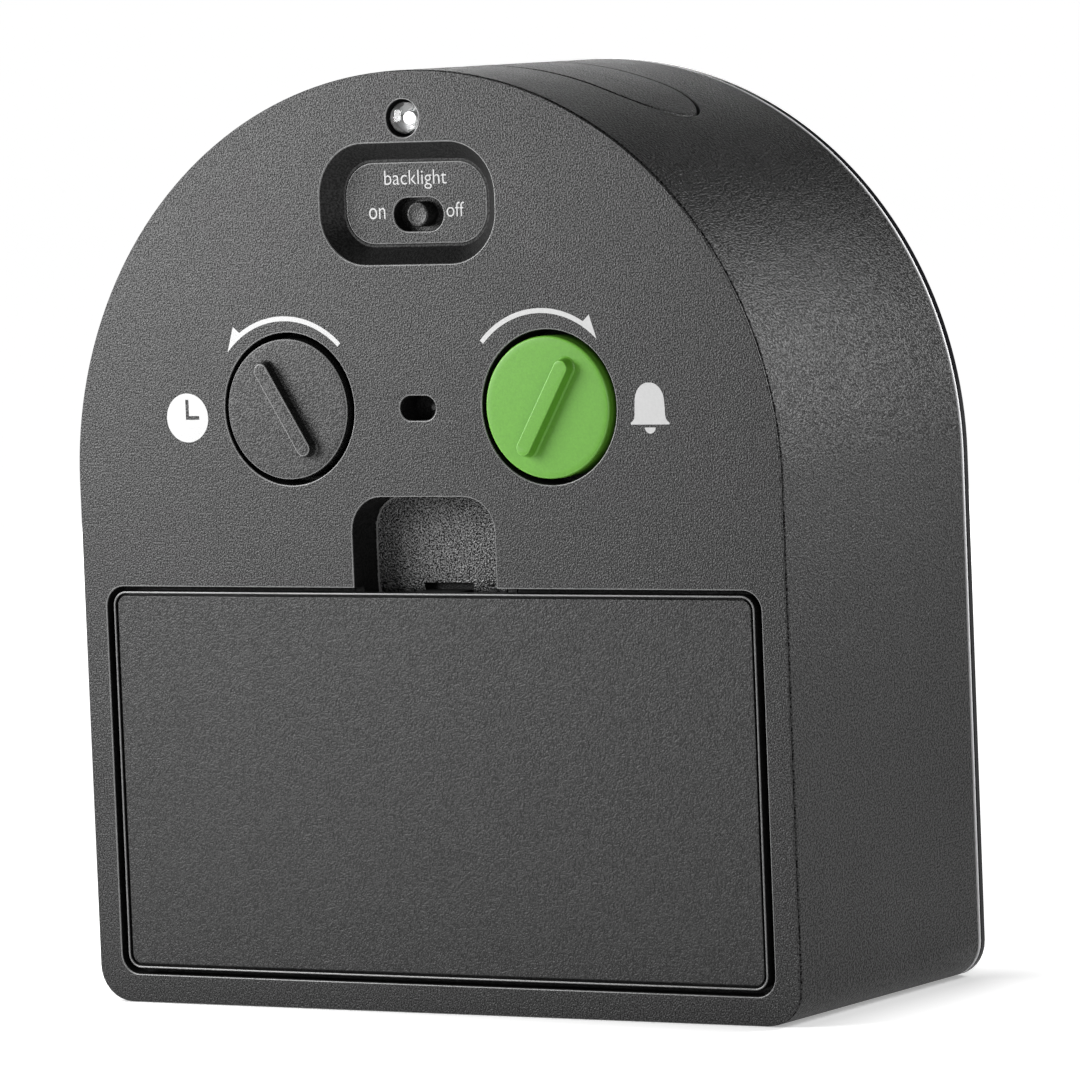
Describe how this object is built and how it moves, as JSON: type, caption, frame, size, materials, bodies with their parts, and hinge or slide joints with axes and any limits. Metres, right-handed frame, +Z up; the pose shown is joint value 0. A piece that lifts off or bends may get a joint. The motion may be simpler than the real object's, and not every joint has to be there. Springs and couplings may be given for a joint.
{
  "type": "quartz alarm clock",
  "caption": "Arch-shaped bedside quartz alarm clock with rear setting knobs, a light switch, a battery door and a pill-shaped snooze button on top.",
  "frame": {"origin": "centre of the bounding box's bottom face, where the clock stands", "axes": "+Z up, +Y out of the rear cover, the dial faces -Y"},
  "size_m": [0.084, 0.042, 0.0968],
  "materials": {
    "charcoal_plastic": "fine texture",
    "black_plastic": "satin",
    "gloss_black": "gloss",
    "green_plastic": "satin",
    "chrome": "polished",
    "clear_plastic": "clear",
    "white_plastic": "satin",
    "dial_black": "matt",
    "brass": "turned",
    "steel": "plain",
    "copper_wire": "wound wire",
    "circuit_board": "coated board",
    "cell_sleeve": "printed sleeve"
  },
  "bodies": {
    "case": {"case_sleeve": "charcoal_plastic", "rear_cover": "charcoal_plastic", "front_bezel": "gloss_black", "trim_ring": "chrome", "lens": "clear_plastic", "dial_ring": "dial_black", "dial": "dial_black", "movement_front_plate": "white_plastic", "movement_middle_plate": "white_plastic", "movement_rear_plate": "white_plastic", "stator": "steel", "coil": "copper_wire", "circuit_board": "circuit_board", "buzzer": "black_plastic", "light_sensor": "clear_plastic", "backlight_lamp_left": "clear_plastic", "backlight_lamp_right": "clear_plastic", "slide_switch_body": "steel", "snooze_switch": "black_plastic", "battery_cell_upper": "cell_sleeve", "battery_cell_lower": "cell_sleeve", "contact_bridge": "steel", "contact_positive": "steel", "contact_negative": "steel", "contact_spring_upper": "steel", "contact_spring_lower": "steel", "cover_screw_1": "steel", "cover_screw_2": "steel", "cover_screw_3": "steel", "cover_screw_4": "steel", "mount_screw_left": "steel", "mount_screw_right": "steel", "movement_screw_left": "steel", "movement_screw_right": "steel", "board_screw_left": "steel", "board_screw_right": "steel"},
    "time_setting": {"time_knob": "black_plastic", "time_set_shaft": "steel"},
    "motion": {"motion_wheel": "white_plastic"},
    "minute": {"minute_arbor": "brass", "minute_hand": "white_plastic"},
    "hour": {"hour_wheel": "white_plastic", "hour_hand": "white_plastic"},
    "alarm_setting": {"alarm_knob": "green_plastic", "alarm_set_shaft": "steel"},
    "alarm": {"alarm_wheel": "white_plastic", "alarm_hand": "green_plastic"},
    "seconds": {"second_wheel": "steel", "second_hand": "green_plastic"},
    "intermediate": {"intermediate_wheel": "white_plastic"},
    "motor_rotor": {"rotor": "steel"},
    "third": {"third_wheel": "white_plastic"},
    "centre": {"centre_wheel": "brass"},
    "light_switch": {"switch_slider": "black_plastic"},
    "snooze": {"snooze_button": "charcoal_plastic", "snooze_plunger": "white_plastic"},
    "door": {"battery_door": "charcoal_plastic"}
  },
  "joints": [
    {"name": "time_knob_turn", "type": "hinge", "parent": "case", "child": "time_setting", "pos_m": [0.01555, 0, 0.0623], "axis": [0, 1, 0], "continuous": true},
    {"name": "motion_wheel_turn", "type": "hinge", "parent": "case", "child": "motion", "pos_m": [0.00843, 0, 0.0572], "axis": [0, 1, 0], "continuous": true},
    {"name": "minute_turn", "type": "hinge", "parent": "case", "child": "minute", "pos_m": [0, 0, 0.0548], "axis": [0, 1, 0], "continuous": true},
    {"name": "hour_turn", "type": "hinge", "parent": "case", "child": "hour", "pos_m": [0, 0, 0.0548], "axis": [0, 1, 0], "continuous": true},
    {"name": "alarm_knob_turn", "type": "hinge", "parent": "case", "child": "alarm_setting", "pos_m": [-0.01555, 0, 0.0623], "axis": [0, 1, 0], "continuous": true},
    {"name": "alarm_hand_turn", "type": "hinge", "parent": "case", "child": "alarm", "pos_m": [0, 0, 0.0548], "axis": [0, 1, 0], "continuous": true},
    {"name": "seconds_turn", "type": "hinge", "parent": "case", "child": "seconds", "pos_m": [0, 0, 0.0548], "axis": [0, 1, 0], "continuous": true},
    {"name": "intermediate_turn", "type": "hinge", "parent": "case", "child": "intermediate", "pos_m": [0.0037, 0, 0.04839], "axis": [0, 1, 0], "continuous": true},
    {"name": "rotor_turn", "type": "hinge", "parent": "case", "child": "motor_rotor", "pos_m": [0.0101, 0, 0.04839], "axis": [0, 1, 0], "continuous": true},
    {"name": "third_turn", "type": "hinge", "parent": "case", "child": "third", "pos_m": [-0.00709, 0, 0.05355], "axis": [0, 1, 0], "continuous": true},
    {"name": "centre_turn", "type": "hinge", "parent": "case", "child": "centre", "pos_m": [0, 0, 0.0548], "axis": [0, 1, 0], "continuous": true},
    {"name": "light_switch_slide", "type": "slide", "parent": "case", "child": "light_switch", "axis": [1, 0, 0], "range_m": [-0.0012, 0.0012]},
    {"name": "snooze_press", "type": "slide", "parent": "case", "child": "snooze", "axis": [0, 0, -1], "range_m": [0, 0.0015], "stiffness_N_per_m": 300, "springref_m": -0.002},
    {"name": "battery_door_swing", "type": "hinge", "parent": "case", "child": "door", "pos_m": [0, 0.01912, 0.0035], "axis": [-1, 0, 0], "range_deg": [0, 70]}
  ],
  "couplings": [
    {"joint": "motion_wheel_turn", "follows": "time_knob_turn", "ratio": -0.33333},
    {"joint": "minute_turn", "follows": "time_knob_turn", "ratio": 1},
    {"joint": "hour_turn", "follows": "time_knob_turn", "ratio": 0.083333},
    {"joint": "alarm_hand_turn", "follows": "alarm_knob_turn", "ratio": -0.5},
    {"joint": "intermediate_turn", "follows": "seconds_turn", "ratio": -5},
    {"joint": "rotor_turn", "follows": "seconds_turn", "ratio": 30},
    {"joint": "third_turn", "follows": "seconds_turn", "ratio": -0.125},
    {"joint": "centre_turn", "follows": "seconds_turn", "ratio": 0.016667}
  ]
}
